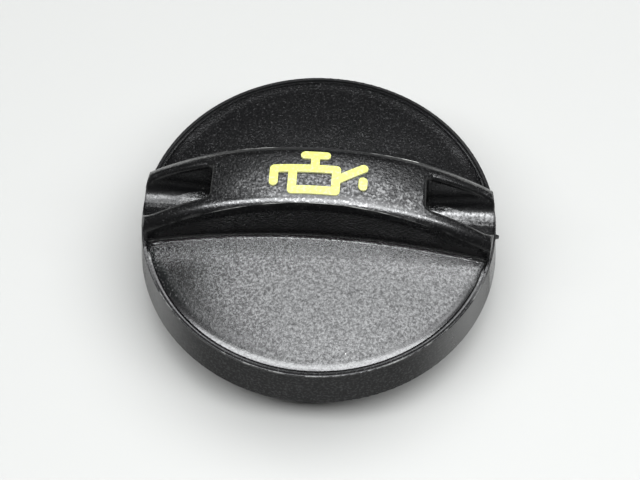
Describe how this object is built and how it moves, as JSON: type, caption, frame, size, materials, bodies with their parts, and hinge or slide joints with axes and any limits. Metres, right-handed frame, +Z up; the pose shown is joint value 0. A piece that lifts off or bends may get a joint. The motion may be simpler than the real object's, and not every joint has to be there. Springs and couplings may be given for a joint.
{
  "type": "oil filler cap",
  "caption": "Round black plastic twist cap for an engine's oil filler, with an arched grip bar, bayonet lugs on its neck, a sealing ring and a yellow oil-can mark.",
  "frame": {"origin": "cap's axis at the neck's lower end, where the cap stands on a table", "axes": "+Z up along the cap's axis, X along the grip bar, Y across it"},
  "size_m": [0.0631, 0.063, 0.0325],
  "materials": {
    "black_moulding": "spark-eroded grain, satin on worn edges",
    "seal_rubber": "smooth moulded",
    "yellow_mark": "satin"
  },
  "bodies": {
    "root": {"cap_body": "black_moulding", "sealing_ring": "seal_rubber", "oil_symbol": "yellow_mark"}
  },
  "joints": []
}
